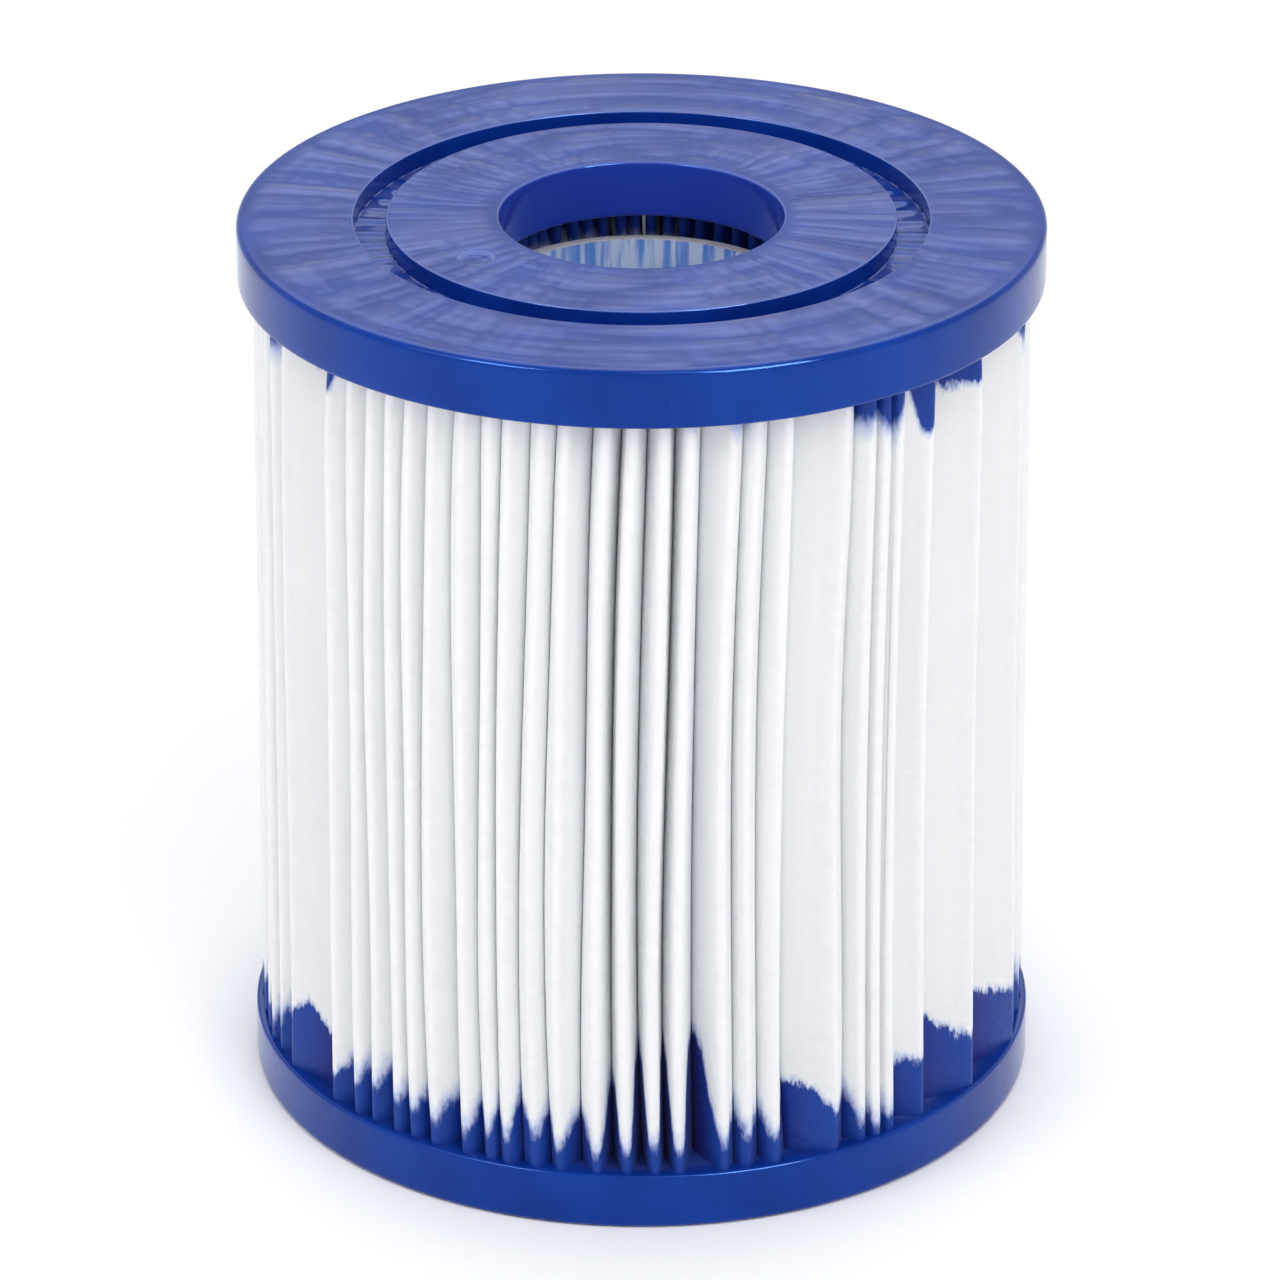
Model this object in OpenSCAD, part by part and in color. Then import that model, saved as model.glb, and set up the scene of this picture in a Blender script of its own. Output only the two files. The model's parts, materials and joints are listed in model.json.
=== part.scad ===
// Small pleated filter cartridge for an above-ground pool pump.
// A zigzag sheet of non-woven polyester is cast into a resin cap at each end,
// round a slotted core tube. Millimetres, +Z up, origin at the centre of the
// lower cap's outer face.

/* [Overall] */
// Height over both end caps
height = 91; // [70:1:130]
// Diameter of each end cap
cap_d = 79; // [70:0.5:110]

/* [End caps] */
// Thickness of each end cap
cap_t = 5.8; // [5.2:0.1:9]
// Diameter of the bore through each end cap
bore_d = 27.8; // [20:0.1:29]
// Rounding of the cap's outer edges
cap_edge_r = 0.6; // [0.3:0.1:1.5]
// Rounding of the bore's mouth and of the groove's edges
lip_r = 0.35; // [0.1:0.05:0.5]
// Inner diameter of the locating groove
groove_in_d = 49.8; // [40:0.1:52]
// Radial width of the locating groove
groove_w = 3.2; // [2:0.1:5]
// Depth of the locating groove
groove_depth = 2; // [1:0.1:2.5]
// Diameter of the round moulding mark between the bore and the groove
mark_d = 3.6; // [2:0.1:5]
// Depth of the round moulding mark
mark_depth = 0.4; // [0.2:0.1:0.8]

/* [Pleated media] */
// Number of pleats round the cartridge
pleat_count = 66; // [40:1:70]
// Thickness of the non-woven sheet
sheet_t = 0.55; // [0.4:0.05:0.6]
// Distance of the pleats' outer folds inside the caps' edge
pleat_inset = 0.8; // [0.6:0.1:2]
// Diameter inside the pleats' inner folds
pleat_in_d = 34.4; // [34:0.2:38]
// Gap between the two sheets of a pleat, inside its outer fold
fold_gap = 0.2; // [0.1:0.05:0.3]
// Gap left in a valley, outside its inner fold
valley_gap = 0.1; // [0.05:0.05:0.2]
// Depth that the sheet's ends are cast into each cap
pot_depth = 3.4; // [2:0.1:3.6]

/* [Seam] */
// Radial length of the glue line that joins the sheet's two ends
seam_l = 6; // [3:0.5:10]
// How far the glue stands out past the cut edges
seam_proud = 0.35; // [0.2:0.05:0.6]
// Direction of the seam, anticlockwise from +X
seam_angle = 90; // [0:5:355]

/* [Core tube] */
// Outside diameter of the slotted core tube
core_d = 32.8; // [31:0.1:33.8]
// Wall of the core tube
core_wall = 1.2; // [0.8:0.1:1.8]
// Depth that the core tube's foot is cast into the lower cap
core_seat = 1; // [0.5:0.1:2]
// Gap between the top of the core tube and the upper cap
core_gap = 3; // [0.5:0.1:6]
// Slots round the core tube
slots_round = 36; // [12:1:40]
// Rows of slots up the core tube
slot_rows = 4; // [2:1:7]
// Width of one slot
slot_w = 1.3; // [0.8:0.1:1.6]
// Width of the hoop between two rows of slots
hoop_h = 1.2; // [1.1:0.1:3]
// Height of the plain collar at each end of the core tube
collar_h = 5.5; // [1.5:0.5:8]

/* [Hidden] */

cap_r = cap_d / 2;
bore_r = bore_d / 2;
groove_in_r = groove_in_d / 2;
groove_out_r = groove_in_r + groove_w;
mark_r_at = (bore_r + groove_in_r) / 2;
mark_angle = 215;
pleat_out_r = cap_r - pleat_inset;
pleat_in_r = pleat_in_d / 2;
pitch = 360 / pleat_count;
media_z0 = cap_t - pot_depth;
media_h = height - 2 * media_z0;
fold_half = sheet_t + fold_gap / 2;
inner_half = sheet_t + valley_gap / 2;
core_r = core_d / 2;
core_z0 = cap_t - core_seat;
core_h = height - cap_t - core_gap - core_z0;
slot_h = (core_h - 2 * collar_h - (slot_rows - 1) * hoop_h) / slot_rows;
cut = 1;
lap = 0.01;
bead_sides = 48;
$fn = 96;

// A point at radius r and angle a, moved sideways by s along the tangent
function at(r, a, s) = [r * cos(a) - s * sin(a), r * sin(a) + s * cos(a)];

// Points of a quarter round of radius r about a centre, from angle a0 to a1
function quarter(centre, r, a0, a1, steps = 6) =
    [for (i = [0 : steps]) let (a = a0 + (a1 - a0) * i / steps)
        [centre[0] + r * cos(a), centre[1] + r * sin(a)]];

// Side of the sheet that faces outwards, from one cut edge round to the other
function outer_side() = concat(
    [at(pleat_out_r, 0, fold_half)],
    [for (i = [0 : pleat_count - 1]) each concat(
        [for (s = [-1, 1]) at(pleat_in_r + sheet_t, (i + 0.5) * pitch, s * valley_gap / 2)],
        i < pleat_count - 1
            ? [for (s = [-1, 1]) at(pleat_out_r, (i + 1) * pitch, s * fold_half)]
            : [at(pleat_out_r, 360, -fold_half)])]);

// Side of the sheet that faces the core tube, the same way round
function inner_side() = concat(
    [at(pleat_out_r, 0, fold_gap / 2)],
    [for (i = [0 : pleat_count - 1]) each concat(
        [for (s = [-1, 1]) at(pleat_in_r, (i + 0.5) * pitch, s * inner_half)],
        i < pleat_count - 1
            ? [for (s = [-1, 1]) at(pleat_out_r - sheet_t, (i + 1) * pitch, s * fold_gap / 2)]
            : [at(pleat_out_r, 360, -fold_gap / 2)])]);

function reversed(list) = [for (i = [len(list) - 1 : -1 : 0]) list[i]];

// The zigzag sheet as one closed strip, with its two ends side by side at the seam
module sheet_outline() {
    rotate(seam_angle) polygon(concat(outer_side(), reversed(inner_side())));
}

module media_body() {
    translate([0, 0, media_z0]) linear_extrude(media_h) sheet_outline();
}

// Half section of a cap, outer face down at z = 0
module cap_section() {
    polygon(concat(
        quarter([bore_r + lip_r, lip_r], lip_r, 180, 270),
        quarter([groove_in_r - lip_r, lip_r], lip_r, 270, 360),
        [[groove_in_r, groove_depth], [groove_out_r, groove_depth]],
        quarter([groove_out_r + lip_r, lip_r], lip_r, 180, 270),
        quarter([cap_r - cap_edge_r, cap_edge_r], cap_edge_r, 270, 360),
        quarter([cap_r - lip_r, cap_t - lip_r], lip_r, 0, 90),
        [[bore_r, cap_t]]));
}

// The core tube's wall from height z, before its slots are counted
module core_ring(z, h) {
    difference() {
        translate([0, 0, z]) cylinder(r = core_r, h = h);
        translate([0, 0, z - cut]) cylinder(r = core_r - core_wall, h = h + 2 * cut);
    }
}

// A cap as it leaves its mould, outer face down, before the media's ends are counted
module cap_blank() {
    difference() {
        rotate_extrude() cap_section();
        rotate(mark_angle) translate([mark_r_at, 0, -cut])
            cylinder(d = mark_d, h = mark_depth + cut);
    }
}

module bottom_end_cap() {
    color("royalblue") difference() {
        cap_blank();
        media_body();
        core_ring(core_z0, core_seat + cut);
    }
}

module top_end_cap() {
    color("royalblue") difference() {
        translate([0, 0, height]) mirror([0, 0, 1]) cap_blank();
        media_body();
    }
}

module pleated_media() {
    color("whitesmoke") media_body();
}

// Hot-melt glue: a film between the sheet's two end panels, and a rounded strip over their edges
module seam_bead() {
    film_r = pleat_out_r - seam_l;
    color("ivory") rotate(seam_angle) translate([0, 0, cap_t]) linear_extrude(height - 2 * cap_t)
        union() {
            polygon([[film_r, -fold_gap / 2], [pleat_out_r + lap, -fold_gap / 2],
                [pleat_out_r + lap, fold_gap / 2], [film_r, fold_gap / 2]]);
            translate([pleat_out_r, 0]) intersection() {
                scale([seam_proud / fold_half, 1]) circle(r = fold_half, $fn = bead_sides);
                translate([0, -fold_half]) square(2 * fold_half);
            }
        }
}

module core_tube() {
    color("white") difference() {
        core_ring(core_z0, core_h);
        for (row = [0 : slot_rows - 1], i = [0 : slots_round - 1])
            rotate((i + 0.5) * 360 / slots_round)
                translate([core_r - core_wall - cut, -slot_w / 2,
                        core_z0 + collar_h + row * (slot_h + hoop_h)])
                    cube([core_wall + 2 * cut, slot_w, slot_h]);
    }
}

top_end_cap();
bottom_end_cap();
pleated_media();
seam_bead();
core_tube();
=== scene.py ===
"""Looks for a small pleated filter cartridge.

It has two cast caps, a pleated sheet, the sheet's glued seam and a core tube.
Everything is in metres, in the part's own frame: origin at the centre of the lower cap's
outer face, +Z up, -Y to the front. Azimuths are in degrees from the front, positive to +X.
"""

import json
import math

import bpy
import numpy as np
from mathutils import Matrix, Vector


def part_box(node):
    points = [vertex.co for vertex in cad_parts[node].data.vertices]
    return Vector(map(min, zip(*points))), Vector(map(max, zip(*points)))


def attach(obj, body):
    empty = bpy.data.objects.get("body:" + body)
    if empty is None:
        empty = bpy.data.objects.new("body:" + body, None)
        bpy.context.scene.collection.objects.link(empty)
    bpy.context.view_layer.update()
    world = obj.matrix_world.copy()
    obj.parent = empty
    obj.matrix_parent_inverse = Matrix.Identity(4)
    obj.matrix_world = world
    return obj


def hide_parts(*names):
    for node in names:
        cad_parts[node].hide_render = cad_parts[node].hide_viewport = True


MM = 0.001

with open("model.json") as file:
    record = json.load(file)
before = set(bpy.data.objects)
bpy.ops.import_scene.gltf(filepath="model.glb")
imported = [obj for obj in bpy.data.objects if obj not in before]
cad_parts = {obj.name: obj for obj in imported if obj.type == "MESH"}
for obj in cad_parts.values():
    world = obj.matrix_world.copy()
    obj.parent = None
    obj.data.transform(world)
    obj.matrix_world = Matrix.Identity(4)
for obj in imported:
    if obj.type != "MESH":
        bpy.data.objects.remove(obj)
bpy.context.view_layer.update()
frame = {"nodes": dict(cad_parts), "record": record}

# ---------------------------------------------------------------- sizes from the frame

CAP_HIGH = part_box("bottom_end_cap")[1]
MEDIA_LOW, MEDIA_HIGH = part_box("pleated_media")
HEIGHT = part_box("top_end_cap")[1][2]
CAP_R = CAP_HIGH[0]
CAP_T = CAP_HIGH[2]
MEDIA_R = MEDIA_HIGH[0]
BORE_R = next(m for m in frame["record"]["mounts"] if m["name"] == "top_bore")["dims"]["r_mm"] * MM

# Caps, as in part.scad
GROOVE_IN_R = 24.9 * MM
GROOVE_OUT_R = 28.1 * MM
GROOVE_DEPTH = 2.0 * MM
MARK_R_AT = (BORE_R + GROOVE_IN_R) / 2
MARK_AZIMUTH = -55
MARK_R = 1.8 * MM
MARK_DEPTH = 0.4 * MM
MARK_WALL = 0.3 * MM
# Radius of each kind of edge on a cap
EDGE_ROUND = 0.6 * MM
BORE_ROUND = 0.3 * MM
LIP_ROUND = 0.22 * MM
GROOVE_FLOOR_ROUND = 0.15 * MM
# Ridges that the folds print on the groove's floor: height, and half width in degrees
PRINT_HEIGHT = 0.2 * MM
PRINT_HALF = 1.2
CAP_SEGMENTS = 540
ARC_STEPS = 5

# Pleated sheet
SHEET_T = 0.55 * MM
FOLD_R = 0.3 * MM
VALLEY_R = 0.29 * MM
INNER_R = 17.2 * MM
# Degrees between neighbouring outer folds over the front; a wide gap shows a flank
FRONT_START = -77
FRONT_GAPS = (
    3.5, 3.5, 5, 13.3, 5.3, 3.4, 4.6, 3.2, 3.5, 5.6, 4, 2.3, 4.5, 3.5,
    5.7, 3.8, 4.6, 3.5, 6.4, 3.4, 4.5, 9.7, 4.7, 2.3, 2.4, 6.8, 12.2, 15.5,
)
PLEATS = 66
LEAST_INNER_GAP = 3.95
# The pleats lean away from this parting, where the valleys are deepest
PARTING_AZIMUTH = 1
PARTING_WIDTH = 13
PARTING_DEPTH = 2.4 * MM
# Where resin ran down from the upper cap: azimuth, half width, and how far in mm
DRIPS = (
    (45, 21, 4.4), (75, 6, 5), (10, 6, 1.6), (-55, 6, 3),
    (-69, 6, 3.4), (150, 20, 2.5), (-120, 16, 1.8),
)
# How far the rounding reaches where neighbouring pleats meet
BEND = 0.5 * MM
RIDGE_POINTS = 6
VALLEY_POINTS = 4
MEDIA_ROWS = 33

# Seam, as in part.scad: how far in the film of glue reaches, and how thick it is
FILM_LENGTH = 6 * MM
FILM_HALF = 0.09 * MM
SEAM_ROWS = 90
BEAD_POINTS = 14

# Camera: where it stands, where it aims, and its framing
CAMERA_ELEVATION = 25.33
CAMERA_DISTANCE = 0.676
CAMERA_AIM = 44.4 * MM
CAMERA_LENS = 189.4
CAMERA_SHIFT = (-0.00125, 0.0047)

# Studio: direction and strength of the glow behind the part, and the strength all round it
GLOW_ELEVATION = 54
GLOW_STRENGTH = 2.0
AIR_STRENGTH = 0.66
BOX_DISTANCE = 0.9
FLOOR_REACH = 4.0


# ---------------------------------------------------------------- small helpers


def smooth_step(x, low, high):
    """0 below low, 1 above high, and a smooth ramp between them."""
    t = np.clip((x - low) / (high - low), 0, 1)
    return t * t * (3 - 2 * t)


def ripple(x, rng, low, high):
    """Smooth noise with period 360 in x degrees, about -1 to 1, from low to high waves round."""
    waves = range(low, high + 1)
    phases = rng.uniform(0, 2 * math.pi, len(waves))
    total = sum(np.sin(np.radians(x) * k + p) for k, p in zip(waves, phases))
    return total / math.sqrt(len(waves))


def patch(azimuth, centre, half_width):
    """1 near the centre azimuth, falling to 0 at half_width degrees to each side."""
    off = np.abs((azimuth - centre + 180) % 360 - 180)
    return 1 - smooth_step(off, 0.5 * half_width, half_width)


def around(radius, azimuth):
    """X and Y of points at a radius and an azimuth in degrees, as the last axis."""
    a = np.radians(azimuth)
    return np.stack([radius * np.sin(a), -radius * np.cos(a)], axis=-1)


def unit(v):
    """v at length 1, along its last axis."""
    return v / np.linalg.norm(v, axis=-1, keepdims=True)


def left_of(v):
    """A quarter turn anticlockwise from v."""
    return np.stack([-v[..., 1], v[..., 0]], axis=-1)


def grid_faces(rows, columns, close_rows, close_columns):
    """Quads of a grid of points numbered row by row."""
    i = np.arange(rows if close_rows else rows - 1)[:, None]
    j = np.arange(columns if close_columns else columns - 1)[None, :]
    below, right = (i + 1) % rows, (j + 1) % columns
    corners = (i * columns + j, i * columns + right, below * columns + right, below * columns + j)
    return np.stack([np.broadcast_to(c, (len(i), j.shape[1])) for c in corners], axis=-1).reshape(-1, 4)


def make_mesh(name, points, faces, material, sharp_angle=40):
    """A smooth-shaded object, with an edge wherever the surface turns by more than sharp_angle."""
    mesh = bpy.data.meshes.new(name)
    mesh.from_pydata(np.asarray(points).reshape(-1, 3).tolist(), [], faces)
    mesh.shade_smooth()
    mesh.set_sharp_from_angle(angle=math.radians(sharp_angle))
    mesh.materials.append(material)
    piece = bpy.data.objects.new(name, mesh)
    bpy.context.scene.collection.objects.link(piece)
    return piece


def store(mesh, name, values):
    """Keep one number per point for the material to read."""
    layer = mesh.attributes.new(name, "FLOAT", "POINT")
    layer.data.foreach_set("value", np.asarray(values, np.float32).ravel())


# ---------------------------------------------------------------- shader helpers


def new_material(name):
    """A material, its node tree and its shader."""
    material = bpy.data.materials.new(name)
    material.use_nodes = True
    return material, material.node_tree, material.node_tree.nodes["Principled BSDF"]


def add(tree, kind, inputs=(), **settings):
    """A node with its settings, and its inputs given as (name or number, value or socket)."""
    made = tree.nodes.new(kind)
    for key, value in settings.items():
        setattr(made, key, value)
    for key, value in dict(inputs).items():
        if isinstance(value, bpy.types.NodeSocket):
            tree.links.new(value, made.inputs[key])
        else:
            made.inputs[key].default_value = value
    return made


def math_node(tree, operation, a, b=0.0):
    """The result of one operation on numbers or sockets."""
    return add(tree, "ShaderNodeMath", {0: a, 1: b}, operation=operation).outputs[0]


def vector_math(tree, operation, inputs, output="Vector"):
    """The result of one operation on vectors."""
    return add(tree, "ShaderNodeVectorMath", inputs, operation=operation).outputs[output]


def upward(tree, normal):
    """The upward share of the surface's direction, from the Normal or the True Normal."""
    facing = add(tree, "ShaderNodeNewGeometry").outputs[normal]
    return add(tree, "ShaderNodeSeparateXYZ", {"Vector": facing}).outputs["Z"]


def ramp(tree, value, low, high, to_low=0.0, to_high=1.0):
    """value carried smoothly from the range low..high to to_low..to_high."""
    inputs = {"Value": value, "From Min": low, "From Max": high, "To Min": to_low, "To Max": to_high}
    return add(tree, "ShaderNodeMapRange", inputs, interpolation_type="SMOOTHSTEP").outputs["Result"]


def mix(tree, factor, a, b):
    """Colour a where the factor is 0, and b where it is 1."""
    made = add(tree, "ShaderNodeMix", data_type="RGBA")
    factor_in, a_in, b_in = made.inputs[0], made.inputs[6], made.inputs[7]
    for socket, value in ((factor_in, factor), (a_in, a), (b_in, b)):
        if isinstance(value, bpy.types.NodeSocket):
            tree.links.new(value, socket)
        else:
            socket.default_value = value
    return made.outputs[2]


def place(tree, stretch=(1, 1, 1)):
    """Object coordinates, stretched."""
    where = add(tree, "ShaderNodeTexCoord").outputs["Object"]
    return add(tree, "ShaderNodeMapping", {"Vector": where, "Scale": stretch}).outputs["Vector"]


def noise(tree, where, size, detail, roughness=0.5):
    """Noise whose features are about size metres across, 0 to 1."""
    inputs = {"Vector": where, "Scale": 1 / size, "Detail": detail, "Roughness": roughness}
    return add(tree, "ShaderNodeTexNoise", inputs).outputs["Fac"]


def bump(tree, height, distance, under=None):
    """A bumped normal, laid over another one if it is given."""
    inputs = {"Height": height, "Distance": distance, "Strength": 1.0}
    if under is not None:
        inputs["Normal"] = under
    return add(tree, "ShaderNodeBump", inputs).outputs["Normal"]


# ---------------------------------------------------------------- materials

RESIN = (0.004, 0.038, 0.29, 1)
RESIN_DEEP = (0.003, 0.026, 0.22, 1)
# Painted reflection: the pale streaks on the caps' faces
RESIN_PAINTED_REFLECTION = (0.30, 0.32, 0.60, 1)
# Painted highlight along the bore's and the groove's rims
RESIN_RIM_PAINTED_HIGHLIGHT = (0.42, 0.50, 0.88, 1)
# Painted light on the bore's wall
RESIN_BORE_PAINTED_LIGHT = (0.020, 0.050, 0.38, 1)
RESIN_SPECK = (0.05, 0.11, 0.42, 1)
RESIN_SHINE = (0.2, 0.42, 1.0, 1)
SOAKED = (0.004, 0.042, 0.29, 1)
# Painted shade on the soaked sheet deep in its valleys
SOAKED_PAINTED_SHADE = (0.012, 0.010, 0.18, 1)
SOAK_FRINGE = (0.23, 0.34, 0.68, 1)
SHEET_WHITE = (0.865, 0.87, 0.905, 1)
SHEET_GREY = (0.835, 0.84, 0.88, 1)
# Painted light on the white sheet deep in its valleys
SHEET_PAINTED_LIGHT = (0.89, 0.90, 0.945, 1)
# Painted shade and painted blue light on the core's wall
CORE_PAINTED_SHADE = (0.17, 0.36, 0.85, 1)
CORE_PAINTED_LIGHT = (0.70, 0.82, 1.0, 1)
CORE_RIM = (0.96, 0.97, 1.0, 1)
GLUE_CLEAR = (0.72, 0.70, 0.62, 1)
GLUE_MILKY = (0.84, 0.83, 0.78, 1)
FLOOR_GREY = (0.96, 0.96, 0.955, 1)
FLOOR_WHITE = (0.975, 0.975, 0.97, 1)
STUDIO_AIR = (0.97, 0.98, 1.0, 1)


def polar(tree):
    """The direction out from the axis, and the distance from it."""
    flat = vector_math(tree, "MULTIPLY", {0: place(tree), 1: (1, 1, 0)})
    return vector_math(tree, "NORMALIZE", {0: flat}), vector_math(tree, "LENGTH", {0: flat}, "Value")


def polar_noise(tree, outward, radius, turn, reach, detail):
    """Noise with features turn radians wide round the axis and reach metres long across it."""
    turned = vector_math(tree, "SCALE", {0: outward, "Scale": 1 / turn})
    reached = math_node(tree, "DIVIDE", radius, reach)
    across = add(tree, "ShaderNodeCombineXYZ", {"Z": reached}).outputs["Vector"]
    return noise(tree, vector_math(tree, "ADD", {0: turned, 1: across}), 1.0, detail)


def flat_face(tree, radius):
    """1 on a cap's outer face, 0 on its rims and walls."""
    level = ramp(tree, math_node(tree, "ABSOLUTE", upward(tree, "True Normal")), 0.9, 0.99)
    inside_rim = ramp(tree, radius, CAP_R - 0.6 * MM, CAP_R - 2.6 * MM)
    off_bore = ramp(tree, radius, BORE_R + 0.4 * MM, BORE_R + 2 * MM)
    return math_node(tree, "MULTIPLY", level, math_node(tree, "MULTIPLY", inside_rim, off_bore))


def rim_painted_highlight(tree, radius):
    """How much paler the bore's and the groove's rims are painted: a painted highlight along them."""
    tilt = math_node(tree, "ABSOLUTE", upward(tree, "Normal"))
    off_wall = ramp(tree, tilt, 0.3, 0.6)
    off_face = ramp(tree, tilt, 0.99, 0.85, 0.0, 0.35)
    inside_groove = ramp(tree, radius, GROOVE_OUT_R + 1 * MM, GROOVE_OUT_R + 0.5 * MM)
    return math_node(tree, "MULTIPLY", math_node(tree, "MULTIPLY", off_wall, off_face), inside_groove)


def resin_material():
    """Glossy cast resin: faintly cloudy, with the folds' prints, rings from pouring, and orange peel;
    pale streaks of painted reflection on its face, painted highlights on its rims, and painted light on
    its bore's wall.
    """
    material, tree, shader = new_material("cast_resin")
    where = place(tree)
    cloud = ramp(tree, noise(tree, where, 9 * MM, 3), 0.3, 0.7)
    speck = ramp(tree, noise(tree, where, 0.5 * MM, 2), 0.62, 0.78)
    colour = mix(tree, cloud, RESIN_DEEP, RESIN)
    colour = mix(tree, math_node(tree, "MULTIPLY", speck, 0.12), colour, RESIN_SPECK)
    outward, radius = polar(tree)
    on_face = flat_face(tree, radius)
    prints = math_node(tree, "SUBTRACT", polar_noise(tree, outward, radius, 0.085, 16 * MM, 1.0), 0.5)
    rings = math_node(tree, "SUBTRACT", polar_noise(tree, outward, radius, 0.5, 3.0 * MM, 1.0), 0.5)
    # Prints show most to the left and right of the cap, rings most to its front and back, in the painted
    # reflection on its face
    sideways = add(tree, "ShaderNodeSeparateXYZ", {"Vector": outward}).outputs["X"]
    share = ramp(tree, math_node(tree, "ABSOLUTE", sideways), 0.25, 0.8)
    both = add(tree, "ShaderNodeMix", {0: share, 2: rings, 3: prints}, data_type="FLOAT").outputs[0]
    # Pale lilac streaks painted on the cap's flat face: a painted reflection
    painted_reflection = ramp(tree, both, -0.14, 0.2, 0.0, 0.19)
    colour = mix(tree, math_node(tree, "MULTIPLY", painted_reflection, on_face), colour, RESIN_PAINTED_REFLECTION)
    # Painted highlights along the bore's and the groove's rims
    colour = mix(tree, rim_painted_highlight(tree, radius), colour, RESIN_RIM_PAINTED_HIGHLIGHT)
    # The bore's wall is painted lighter and more violet: painted light bounced into the bore
    colour = mix(tree, ramp(tree, radius, BORE_R + 0.2 * MM, BORE_R), colour, RESIN_BORE_PAINTED_LIGHT)
    # The prints flatten out towards the bore, where they crowd together
    even = math_node(tree, "MULTIPLY", prints, math_node(tree, "DIVIDE", radius, CAP_R))
    normal = bump(tree, math_node(tree, "MULTIPLY", even, on_face), 0.4 * MM)
    normal = bump(tree, math_node(tree, "MULTIPLY", rings, on_face), 0.35 * MM, under=normal)
    normal = bump(tree, noise(tree, where, 0.45 * MM, 2), 0.004 * MM, under=normal)
    rough = ramp(tree, noise(tree, where, 6 * MM, 4), 0.25, 0.75, 0.08, 0.15)
    tree.links.new(colour, shader.inputs["Base Color"])
    tree.links.new(rough, shader.inputs["Roughness"])
    tree.links.new(normal, shader.inputs["Normal"])
    shader.inputs["Specular Tint"].default_value = RESIN_SHINE
    return material


def stored(tree, name):
    """A number kept at the sheet's points by store()."""
    return add(tree, "ShaderNodeAttribute", attribute_name=name).outputs["Fac"]


def raggedness(tree, rise, size, detail, reach):
    """Noise stretched up the sheet, from minus half of reach to plus half of it."""
    grain = noise(tree, place(tree, (1, 1, rise)), size, detail, 0.6)
    return math_node(tree, "MULTIPLY", math_node(tree, "SUBTRACT", grain, 0.5), reach)


def soak_amount(tree):
    """How far the resin has soaked into the sheet: 0 dry, 1 soaked, and beyond on either side."""
    height = add(tree, "ShaderNodeSeparateXYZ", {"Vector": place(tree)}).outputs["Z"]
    tongues = raggedness(tree, 0.45, 1.1 * MM, 4, 3.4 * MM)
    fibres = raggedness(tree, 0.3, 0.28 * MM, 3, 1.3 * MM)
    ragged = math_node(tree, "ADD", tongues, fibres)
    under_foot = math_node(tree, "SUBTRACT", stored(tree, "soak_foot"), height)
    over_head = math_node(tree, "SUBTRACT", height, stored(tree, "soak_head"))
    below = math_node(tree, "ADD", under_foot, ragged)
    above = math_node(tree, "ADD", over_head, math_node(tree, "MULTIPLY", ragged, 0.7))
    return math_node(tree, "DIVIDE", math_node(tree, "MAXIMUM", below, above), stored(tree, "soak_blur"))


def sheet_material():
    """Non-woven polyester: matt and mottled, with fibres and crinkles, its ends soaked with resin; deep
    in its valleys it is painted paler where white (painted light) and darker where soaked (painted
    shade).
    """
    material, tree, shader = new_material("nonwoven_sheet")
    where = place(tree)
    amount = soak_amount(tree)
    soaked = ramp(tree, amount, 0.0, 1.0)
    fringe = ramp(tree, amount, -0.9, 0.5)
    deep = stored(tree, "deep")
    mottle = ramp(tree, noise(tree, where, 1.6 * MM, 4, 0.6), 0.3, 0.7)
    fibre = noise(tree, place(tree, (1, 1, 0.35)), 0.22 * MM, 3, 0.65)
    white = mix(tree, mottle, SHEET_GREY, SHEET_WHITE)
    # Deep in the valleys the white sheet is painted paler and bluer: painted light where shade would
    # fall
    white = mix(tree, ramp(tree, deep, 0.0, 0.12), white, SHEET_PAINTED_LIGHT)
    # Where soaked, the sheet is painted darker deep in the valleys: painted shade
    blue = mix(tree, deep, SOAKED, SOAKED_PAINTED_SHADE)
    colour = mix(tree, math_node(tree, "MULTIPLY", fringe, 0.6), white, SOAK_FRINGE)
    colour = mix(tree, soaked, colour, blue)
    crinkle = noise(tree, place(tree, (1, 1, 2.2)), 2.4 * MM, 3, 0.55)
    normal = bump(tree, crinkle, 0.16 * MM)
    normal = bump(tree, fibre, 0.035 * MM, under=normal)
    tree.links.new(colour, shader.inputs["Base Color"])
    tree.links.new(ramp(tree, soaked, 0.0, 1.0, 0.92, 0.38), shader.inputs["Roughness"])
    tree.links.new(ramp(tree, soaked, 0.0, 1.0, 0.8, 0.0), shader.inputs["Subsurface Weight"])
    tree.links.new(normal, shader.inputs["Normal"])
    shader.inputs["Specular IOR Level"].default_value = 0.2
    shader.inputs["Subsurface Radius"].default_value = (1.4 * MM, 1.4 * MM, 1.5 * MM)
    shader.inputs["Subsurface Scale"].default_value = 1.0
    shader.inputs["Sheen Weight"].default_value = 0.04
    shader.inputs["Sheen Roughness"].default_value = 0.6
    return material


def core_material():
    """Natural polypropylene: satin, with a white rim; its wall is painted blue with streaks up it,
    painted shade and painted blue light reflected from the resin round it.
    """
    material, tree, shader = new_material("core_polypropylene")
    flow = noise(tree, place(tree, (1, 1, 0.08)), 0.9 * MM, 2)
    # The wall's blue streaks are painted shade and painted blue light; upward faces keep the core's
    # white
    painted_streaks = mix(tree, ramp(tree, flow, 0.38, 0.6), CORE_PAINTED_SHADE, CORE_PAINTED_LIGHT)
    colour = mix(tree, ramp(tree, upward(tree, "True Normal"), 0.8, 0.95), painted_streaks, CORE_RIM)
    tree.links.new(colour, shader.inputs["Base Color"])
    tree.links.new(ramp(tree, flow, 0.3, 0.7, 0.26, 0.4), shader.inputs["Roughness"])
    tree.links.new(bump(tree, flow, 0.06 * MM), shader.inputs["Normal"])
    return material


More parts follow.
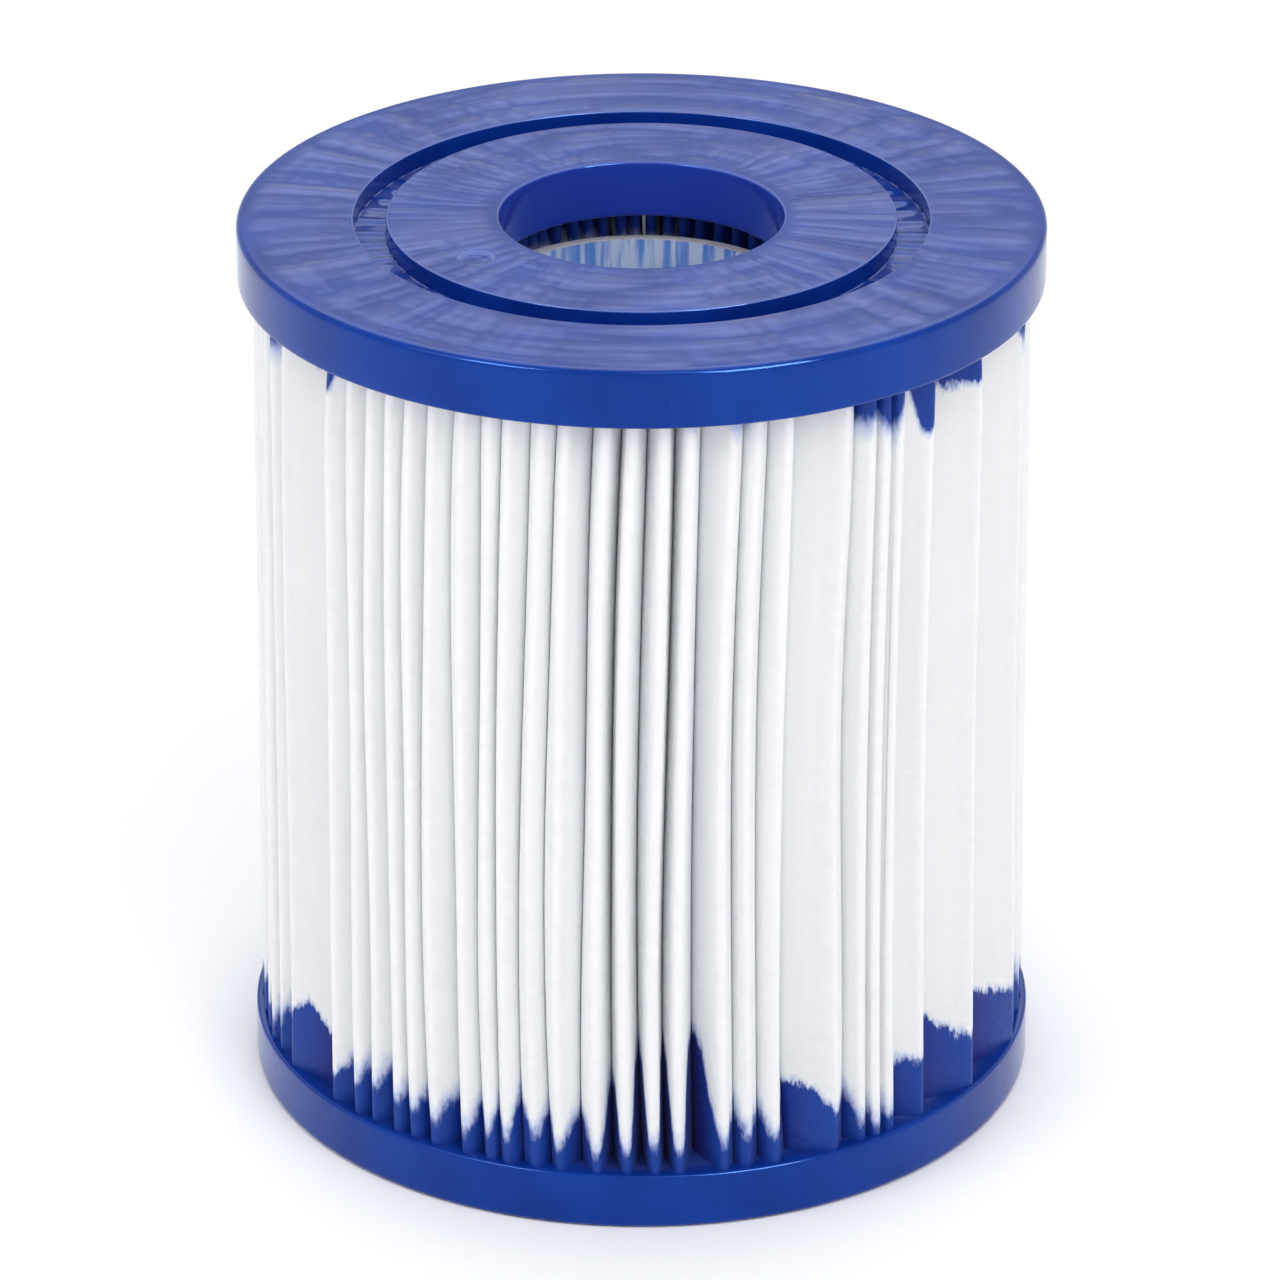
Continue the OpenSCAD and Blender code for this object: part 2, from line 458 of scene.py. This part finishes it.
def glue_material():
    """Hot-melt glue: semi-clear, milky, with a wavy skin."""
    material, tree, shader = new_material("hot_melt")
    where = place(tree)
    milk = noise(tree, where, 2.5 * MM, 3)
    colour = mix(tree, ramp(tree, milk, 0.35, 0.65), GLUE_CLEAR, GLUE_MILKY)
    tree.links.new(colour, shader.inputs["Base Color"])
    tree.links.new(ramp(tree, milk, 0.3, 0.7, 0.18, 0.32), shader.inputs["Roughness"])
    tree.links.new(bump(tree, noise(tree, where, 1.2 * MM, 2), 0.05 * MM), shader.inputs["Normal"])
    shader.inputs["Subsurface Weight"].default_value = 0.4
    shader.inputs["Subsurface Radius"].default_value = (1.2 * MM, 1.1 * MM, 0.9 * MM)
    shader.inputs["Subsurface Scale"].default_value = 1.0
    return material


def floor_material():
    """A plain matt floor, very faintly uneven in tone."""
    material, tree, shader = new_material("pale_floor")
    tone = ramp(tree, noise(tree, place(tree), 0.4, 2), 0.3, 0.7)
    colour = mix(tree, tone, FLOOR_GREY, FLOOR_WHITE)
    tree.links.new(colour, shader.inputs["Base Color"])
    shader.inputs["Roughness"].default_value = 0.9
    shader.inputs["Specular IOR Level"].default_value = 0.1
    return material


# ---------------------------------------------------------------- folds of the sheet


def random_gaps(total, count, rng):
    """count uneven gaps that add up to total."""
    gaps = rng.uniform(0.55, 1.45, count)
    return gaps * total / gaps.sum()


def outer_fold_azimuths(rng):
    """Azimuths of the outer folds from the seam at the back, right round to the seam again."""
    front_end = FRONT_START + sum(FRONT_GAPS)
    behind = PLEATS - len(FRONT_GAPS)
    left = random_gaps(FRONT_START + 180, behind // 2, rng)
    right = random_gaps(180 - front_end, behind - behind // 2, rng)
    gaps = np.concatenate([left, FRONT_GAPS, right])
    return np.concatenate([[-180], -180 + np.cumsum(gaps)])


def inner_fold_azimuths(outer):
    """Azimuths of the inner folds, which crowd together less than the outer ones can."""
    gaps = np.diff(outer)
    around_fold = (gaps + np.roll(gaps, -1)) / 2
    spare = np.maximum(around_fold - LEAST_INNER_GAP, 0)
    wanted = LEAST_INNER_GAP + spare * (360 - PLEATS * LEAST_INNER_GAP) / spare.sum()
    inner = np.concatenate([[0], np.cumsum(wanted)[:-1]])
    middle = (outer[:-1] + outer[1:]) / 2
    return inner + (middle - inner).mean()


def half_turn(tip, away, radius, side):
    """A half turn of the sheet's middle line, whose skin just reaches the tip, pointing along away."""
    centre = tip - away * (radius + SHEET_T / 2)
    turns = np.radians(np.linspace(-90, 90, VALLEY_POINTS))
    return [centre + radius * (math.cos(t) * away + math.sin(t) * side) for t in turns]


def ridge_arc(tip, low_point, high_point):
    """The sheet's middle line round an outer fold, tangent to its flanks' lines to the two points."""
    outward = unit(tip - (low_point + high_point) / 2)
    side = left_of(outward)
    centre = tip - outward * (FOLD_R + SHEET_T / 2)

    def tangent_angle(point, sign):
        to = point - centre
        angle = np.arctan2((to * side).sum(-1), (to * outward).sum(-1)) * sign % (2 * math.pi)
        return sign * (angle - np.arccos(FOLD_R / np.linalg.norm(to, axis=-1)))

    low, high = tangent_angle(low_point, -1), tangent_angle(high_point, 1)
    shares = np.linspace(0, 1, RIDGE_POINTS)
    angles = [(low + (high - low) * share)[:, None] for share in shares]
    return [centre + FOLD_R * (np.cos(a) * outward + np.sin(a) * side) for a in angles]


def flank(ridge_end, bend, valley_end, bow):
    """Points from an outer fold to where the valley closes, round that bend and on to the inner fold."""
    to_ridge, to_valley = ridge_end - bend, valley_end - bend
    length = np.linalg.norm(to_ridge, axis=-1, keepdims=True)
    start = bend + to_ridge * np.minimum(BEND / length, 0.4)
    end = bend + unit(to_valley) * BEND
    along = start - ridge_end
    aside = left_of(unit(to_ridge)) * bow[:, None]
    straight = [ridge_end + along * k + aside * math.sin(math.pi * k) for k in (0.33, 0.67)]
    curve = [(1 - k) ** 2 * start + 2 * k * (1 - k) * bend + k * k * end for k in (0, 0.5, 1)]
    return straight + curve + [(end + valley_end) / 2]


def sway(azimuth, t):
    """How many degrees a fold leans sideways at a share t of the height; none is quite straight."""
    turn = 1.4 * smooth_step(azimuth, -30, -10) * (1 - smooth_step(azimuth, 80, 130))
    sag = 0.35 + 0.9 * np.exp(-(((azimuth + 30) / 18) ** 2))
    return turn * (2 * t * t - t) - sag * np.sin(math.pi * t)


def fold_lines(outer, inner, heights, rng):
    """Outer and inner fold tips, and where each valley closes, at every height: (rows, folds, 2)."""
    t = ((heights - heights[0]) / (heights[-1] - heights[0]))[:, None]
    room = np.minimum(np.diff(outer, prepend=outer[0] - 4), np.diff(outer, append=outer[-1] + 4)) - 2.1
    wobble = np.clip(0.4 * room, 0, 0.4) * rng.uniform(0.4, 1, len(outer))
    wave = np.sin(2 * math.pi * (t * rng.uniform(0.6, 1.5, len(outer)) + rng.uniform(0, 1, len(outer))))
    azimuth = outer + sway(outer, t) + wobble * wave
    azimuth[:, [0, -1]] = outer[[0, -1]]
    # Each fold stands a little short, dips at mid height, and may be pinched under the upper cap
    short = rng.uniform(0, 0.25, len(outer)) * MM
    dip = rng.uniform(0, 0.25, len(outer)) * MM * np.sin(math.pi * t)
    below_cap = (HEIGHT - CAP_T - heights).clip(0)[:, None]
    pinch = rng.uniform(0, 0.6, len(outer)) * MM * np.exp(-below_cap / (4 * MM))
    radius = MEDIA_R + (0.35 - 0.85 * t) * MM - short - dip - pinch
    radius[:, [0, -1]] = MEDIA_R - 0.5 * MM * t
    inner_azimuth = inner + 0.3 * sway(inner, t)
    closed_r, closed_azimuth = valley_closings(azimuth, radius, t, rng)
    inner_r = np.full_like(inner_azimuth, INNER_R)
    return around(radius, azimuth), around(inner_r, inner_azimuth), around(closed_r, closed_azimuth)


def valley_closings(azimuth, radius, t, rng):
    """Radius and azimuth at which neighbouring pleats meet; wide valleys close beside one of them."""
    gap = np.diff(azimuth, axis=1)
    middle = (azimuth[:, 1:] + azimuth[:, :-1]) / 2
    across = np.radians(gap) * MEDIA_R
    folds = gap.shape[1]
    drift = np.sin(2 * math.pi * (t * rng.uniform(0.5, 1.3, folds) + rng.uniform(0, 1, folds)))
    # Wide valleys are deeper, though less so near the foot, and those at the parting are deepest
    depth = (0.4 * MM + 0.36 * across) * (1 + 0.16 * drift)
    depth *= 1 - 0.4 * smooth_step(gap, 6, 10) * (1 - smooth_step(t, 0, 0.15))
    depth += PARTING_DEPTH * patch(middle, PARTING_AZIMUTH, PARTING_WIDTH)
    leaning = smooth_step(gap, 4, 9) * np.tanh((middle - PARTING_AZIMUTH) / 8)
    share = 0.5 - 0.27 * leaning + 0.05 * drift
    low_r = np.minimum(radius[:, 1:], radius[:, :-1])
    return low_r - depth, azimuth[:, :-1] + share * gap


def sheet_path(outer_tips, inner_tips, closings, bows):
    """The sheet's middle line at every height, from raw edge to raw edge: (rows, points, 2)."""
    last = outer_tips.shape[1] - 1
    seam_side = left_of(unit(outer_tips[:, 0])) * FOLD_R
    inward = unit(inner_tips - closings)
    higher = -left_of(inward)
    low_bends, high_bends = closings - higher * VALLEY_R, closings + higher * VALLEY_R
    path = [outer_tips[:, 0] + seam_side]
    for i in range(last):
        valley = half_turn(inner_tips[:, i], inward[:, i], VALLEY_R, higher[:, i])
        path += flank(path[-1], low_bends[:, i], valley[0], bows[:, i])
        path += valley
        if i < last - 1:
            ridge = ridge_arc(outer_tips[:, i + 1], high_bends[:, i], low_bends[:, i + 1])
        else:
            ridge = [outer_tips[:, last] - seam_side]
        path += flank(ridge[0], high_bends[:, i], valley[-1], bows[:, i])[::-1]
        path += ridge
    return np.stack(path, axis=1)


def thickened(path):
    """The sheet's two faces, outer face first, as a closed ring of columns."""
    tangent = np.empty_like(path)
    tangent[:, 1:-1] = path[:, 2:] - path[:, :-2]
    tangent[:, 0] = path[:, 1] - path[:, 0]
    tangent[:, -1] = path[:, -1] - path[:, -2]
    aside = -left_of(unit(tangent)) * SHEET_T / 2
    return np.concatenate([path + aside, (path - aside)[:, ::-1]], axis=1)


def strip_faces(rows, columns):
    """Faces of the closed strip: both sides and both raw ends, then its lower and upper edge."""
    sides = grid_faces(rows, columns, False, True)
    j = np.arange(columns // 2 - 1)
    far = columns - 1 - j
    edge = np.stack([j, j + 1, far - 1, far], axis=-1)
    return np.concatenate([sides, edge[:, ::-1], edge + (rows - 1) * columns]).tolist()


def soak_levels(points, outer):
    """For each column of the sheet: the resin's height from foot and head, its blur, and depth, which
    sets the sheet's painted light and painted shade.
    """
    middle = points[len(points) // 2]
    radius = np.hypot(middle[:, 0], middle[:, 1])
    azimuth = np.degrees(np.arctan2(middle[:, 0], -middle[:, 1]))
    depth = MEDIA_R - radius
    gaps = np.diff(outer)
    centres = (outer[:-1] + outer[1:]) / 2
    gap = np.interp(azimuth, centres, gaps)
    rng = np.random.default_rng(31)
    uneven = 1 + 0.22 * ripple(azimuth, rng, 9, 23)
    wide = smooth_step(gap, 4.5, 9)
    # The resin climbs least at the outer folds, and further the deeper a valley is
    near = (3.6 - 1.6 * wide) * MM * (1 - np.exp(-depth / (1.6 * MM)))
    climb = (2.9 + 1.6 * wide) * MM + near + 5.5 * MM * (1 - np.exp(-depth / (9 * MM)))
    climb += 2 * MM * patch(azimuth, 67, 12)
    climb += 5 * MM * patch(azimuth, PARTING_AZIMUTH + 2, 11) * smooth_step(depth, 0.8 * MM, 3 * MM)
    foot = CAP_T + climb * uneven
    drips = sum(run * patch(azimuth, centre, half) for centre, half, run in DRIPS)
    near_core = smooth_step(depth, 13 * MM, 19 * MM)
    drop = drips * MM * (1 + 0.3 * ripple(azimuth, rng, 30, 60)) + 5.2 * MM * near_core - 0.9 * MM
    head = HEIGHT - CAP_T - drop
    blur = (0.6 + 1.2 * (1 - wide)) * MM
    # How deep the column lies in its valley; the sheet's painted light and painted shade follow it
    deep = smooth_step(depth, 0.4 * MM, 5 * MM) * (1 - smooth_step(depth, 12 * MM, 16 * MM))
    return foot, head, blur, deep


def build_sheet(outer, inner, material):
    """The pleated sheet as one closed strip, with the resin's reach stored at its points."""
    rng = np.random.default_rng(5)
    heights = np.linspace(MEDIA_LOW[2], MEDIA_HIGH[2], MEDIA_ROWS)
    outer_tips, inner_tips, closings = fold_lines(outer, inner, heights, rng)
    t = np.linspace(0, 1, MEDIA_ROWS)[:, None]
    bows = 0.12 * MM * ripple(inner, rng, 3, 9) * (0.5 + 0.5 * np.sin(math.pi * t))
    path = sheet_path(outer_tips, inner_tips, closings, bows)
    ring = thickened(path)
    rows, columns = ring.shape[:2]
    points = np.concatenate([ring, np.broadcast_to(heights[:, None, None], (rows, columns, 1))], axis=-1)
    piece = make_mesh("pleated_sheet", points, strip_faces(rows, columns), material, 60)
    names = ("soak_foot", "soak_head", "soak_blur", "deep")
    for name, values in zip(names, soak_levels(ring, outer)):
        store(piece.data, name, np.broadcast_to(values, (rows, columns)))
    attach(piece, "root")
    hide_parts("pleated_media")


# ---------------------------------------------------------------- caps


def rounded(corners):
    """The closed outline of right-angled (radius, depth, rounding) corners."""
    points = []
    for i, (r, depth, rounding) in enumerate(corners):
        corner = np.array((r, depth))
        before = unit(np.array(corners[i - 1][:2]) - corner)
        after = unit(np.array(corners[(i + 1) % len(corners)][:2]) - corner)
        centre = corner + rounding * (before + after)
        for t in np.linspace(0, math.pi / 2, ARC_STEPS + 1):
            points.append(centre - rounding * (after * math.cos(t) + before * math.sin(t)))
    return np.array(points)


def filled_in(points, step_at):
    """The outline with more points on its straight runs, no further apart than step_at(point)."""
    out = []
    for start, end in zip(points, np.roll(points, -1, axis=0)):
        count = max(1, math.ceil(np.linalg.norm(end - start) / step_at((start + end) / 2)))
        out += [start + (end - start) * k / count for k in range(count)]
    return np.array(out)


def cap_step(point):
    """Fine rings where the mark is pressed in, coarser ones elsewhere."""
    on_face = point[1] < 0.1 * MM
    if on_face and BORE_R < point[0] < GROOVE_IN_R:
        return 0.25 * MM
    return 0.6 * MM if on_face else 0.8 * MM


def cap_relief(r, depth, azimuth, prints):
    """How much deeper each point lies than the plain turned shape: the mark, and the folds' prints."""
    face = depth < 0.05 * MM
    xy = around(r, azimuth)
    off = np.linalg.norm(xy - around(MARK_R_AT, MARK_AZIMUTH), axis=-1)
    mark = MARK_DEPTH * (1 - smooth_step(off, MARK_R - MARK_WALL, MARK_R))
    in_groove = (r > GROOVE_IN_R + 0.1 * MM) & (r < GROOVE_OUT_R - 0.1 * MM)
    floor = in_groove & (depth > GROOVE_DEPTH - 0.05 * MM)
    nearest = np.abs((azimuth[..., None] - prints + 180) % 360 - 180).min(axis=-1)
    ridge = PRINT_HEIGHT * np.exp(-((nearest / PRINT_HALF) ** 2))
    return np.where(face, mark, 0) - np.where(floor, ridge, 0)


def build_cap(name, node, at_top, prints, material):
    """A cap turned from its outline, outer face down, or up where it is at the top."""
    corners = (
        (BORE_R, CAP_T, BORE_ROUND),
        (BORE_R, 0, BORE_ROUND),
        (GROOVE_IN_R, 0, LIP_ROUND),
        (GROOVE_IN_R, GROOVE_DEPTH, GROOVE_FLOOR_ROUND),
        (GROOVE_OUT_R, GROOVE_DEPTH, GROOVE_FLOOR_ROUND),
        (GROOVE_OUT_R, 0, LIP_ROUND),
        (CAP_R, 0, EDGE_ROUND),
        (CAP_R, CAP_T, BORE_ROUND),
    )
    outline = filled_in(rounded(corners), cap_step)
    azimuth = np.arange(CAP_SEGMENTS)[None, :] * 360 / CAP_SEGMENTS
    r = np.broadcast_to(outline[:, :1], (len(outline), CAP_SEGMENTS))
    depth = np.broadcast_to(outline[:, 1:], r.shape)
    azimuth = np.broadcast_to(azimuth, r.shape)
    depth = depth + cap_relief(r, depth, azimuth, prints)
    z = HEIGHT - depth if at_top else depth
    points = np.concatenate([around(r, azimuth), z[..., None]], axis=-1)
    faces = grid_faces(len(outline), CAP_SEGMENTS, True, True)
    if at_top:
        faces = faces[:, ::-1]
    piece = make_mesh(name, points, faces.tolist(), material, 50)
    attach(piece, "root")
    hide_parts(node)


# ---------------------------------------------------------------- seam and core tube


def build_seam(material):
    """A film of glue between the sheet's end panels, and an uneven bead over their raw edges."""
    rng = np.random.default_rng(11)
    into_cap = 0.5 * MM
    heights = np.linspace(CAP_T - into_cap, HEIGHT - CAP_T + into_cap, SEAM_ROWS)
    along = np.linspace(0, 360, SEAM_ROWS)
    half = (0.62 + 0.10 * ripple(along, rng, 4, 19)) * MM
    proud = (0.26 + 0.06 * ripple(along, rng, 3, 15)) * MM
    film_start = MEDIA_R - FILM_LENGTH
    bead_start = MEDIA_R - 0.05 * MM
    turns = np.radians(np.linspace(-90, 90, BEAD_POINTS))
    film_x = np.tile([FILM_HALF, FILM_HALF, -FILM_HALF, -FILM_HALF], (SEAM_ROWS, 1))
    film_y = np.tile([bead_start, film_start, film_start, bead_start], (SEAM_ROWS, 1))
    x = np.concatenate([np.outer(half, np.sin(turns)), film_x], axis=1)
    y = np.concatenate([bead_start + np.outer(proud, np.cos(turns)), film_y], axis=1)
    columns = x.shape[1]
    points = np.stack([x, y, np.broadcast_to(heights[:, None], x.shape)], axis=-1)
    faces = grid_faces(SEAM_ROWS, columns, False, True)[:, ::-1].tolist()
    first_at_top = (SEAM_ROWS - 1) * columns
    faces.append(list(range(columns)))
    faces.append([first_at_top + k for k in range(columns - 1, -1, -1)])
    piece = make_mesh("seam_glue", points, faces, material, 50)
    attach(piece, "root")
    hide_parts("seam_bead")


def dress_core(material):
    """The core tube keeps its CAD shape and takes a finished material."""
    tube = frame["nodes"]["core_tube"]
    tube.data.materials.clear()
    tube.data.materials.append(material)


# ---------------------------------------------------------------- stage, light and camera


def look_at(thing, target):
    """Turn a lamp or the camera to the target."""
    direction = target - thing.location
    thing.rotation_euler = direction.to_track_quat("-Z", "Y").to_euler()


def on_stage(radius, azimuth, elevation, target):
    """A place radius metres from the target, at an azimuth and elevation in degrees."""
    a, e = math.radians(azimuth), math.radians(elevation)
    out = Vector((math.sin(a) * math.cos(e), -math.cos(a) * math.cos(e), math.sin(e)))
    return target + radius * out


def soft_box(name, azimuth, elevation, distance, size, radiance, target, only_shine=False):
    """A soft box; one with only_shine adds highlights and no other light."""
    lamp = bpy.data.lights.new(name, "AREA")
    lamp.shape = "RECTANGLE"
    lamp.size, lamp.size_y = size
    lamp.energy = radiance * math.pi * size[0] * size[1]
    holder = bpy.data.objects.new(name, lamp)
    bpy.context.scene.collection.objects.link(holder)
    holder.location = on_stage(distance, azimuth, elevation, target)
    look_at(holder, target)
    holder.visible_diffuse = not only_shine


def build_world():
    """An even pale studio, a little brighter high up behind the part."""
    world = bpy.data.worlds.new("studio")
    world.use_nodes = True
    tree = world.node_tree
    background = tree.nodes["Background"]
    background.inputs["Color"].default_value = STUDIO_AIR
    direction = add(tree, "ShaderNodeTexCoord").outputs["Generated"]
    glow = on_stage(1, 180, GLOW_ELEVATION, Vector((0, 0, 0)))
    towards = vector_math(tree, "DOT_PRODUCT", {0: direction, 1: glow}, "Value")
    strength = ramp(tree, towards, 0.82, 0.95, AIR_STRENGTH, GLOW_STRENGTH)
    tree.links.new(strength, background.inputs["Strength"])
    bpy.context.scene.world = world


def build_stage():
    """A plain floor under an even studio, with soft boxes round the part."""
    corners = [
        (x * FLOOR_REACH, y * FLOOR_REACH, 0)
        for x, y in ((-1, -1), (1, -1), (1, 1), (-1, 1))
    ]
    floor = make_mesh("floor", corners, [[0, 1, 2, 3]], floor_material())
    build_world()
    target = Vector((0, 0, HEIGHT / 2))
    soft_box("box_left", -56, 40, BOX_DISTANCE, (0.4, 0.5), 2.2, target)
    soft_box("box_right", 36, 45, BOX_DISTANCE, (0.36, 0.5), 3.0, target)
    soft_box("box_front", 0, 12, 1.6, (1.2, 0.5), 0.5, target)
    soft_box("lamp_high", 14, 66, BOX_DISTANCE, (0.2, 0.2), 6.0, target)
    # These two put the highlights on the caps' rims
    soft_box("shine_left", -44, 42, BOX_DISTANCE, (0.24, 0.3), 16.0, target, only_shine=True)
    soft_box("shine_right", 37, 42, BOX_DISTANCE, (0.36, 0.4), 26.0, target, only_shine=True)


def build_camera():
    """The camera at the photograph's viewing angle."""
    data = bpy.data.cameras.new("camera")
    data.lens = CAMERA_LENS
    data.sensor_width = 36
    data.shift_x, data.shift_y = CAMERA_SHIFT
    camera = bpy.data.objects.new("camera", data)
    bpy.context.scene.collection.objects.link(camera)
    target = Vector((0, 0, CAMERA_AIM))
    camera.location = on_stage(CAMERA_DISTANCE, 0, CAMERA_ELEVATION, target)
    look_at(camera, target)
    bpy.context.scene.camera = camera


def main():
    """Builds every piece round one set of folds, then the studio and the camera."""
    rng = np.random.default_rng(2)
    outer = outer_fold_azimuths(rng)
    inner = inner_fold_azimuths(outer)
    groove_share = (GROOVE_IN_R - INNER_R) / (MEDIA_R - INNER_R)
    pleat_middle = (inner + np.roll(inner, 1)) / 2
    pleat_middle[0] -= 180
    prints = pleat_middle + groove_share * (outer[:-1] - pleat_middle)
    resin = resin_material()
    build_cap("cap_upper", "top_end_cap", True, prints, resin)
    build_cap("cap_lower", "bottom_end_cap", False, prints, resin)
    build_sheet(outer, inner, sheet_material())
    build_seam(glue_material())
    dress_core(core_material())
    build_stage()
    build_camera()
    bpy.context.scene.view_settings.view_transform = "Standard"


main()
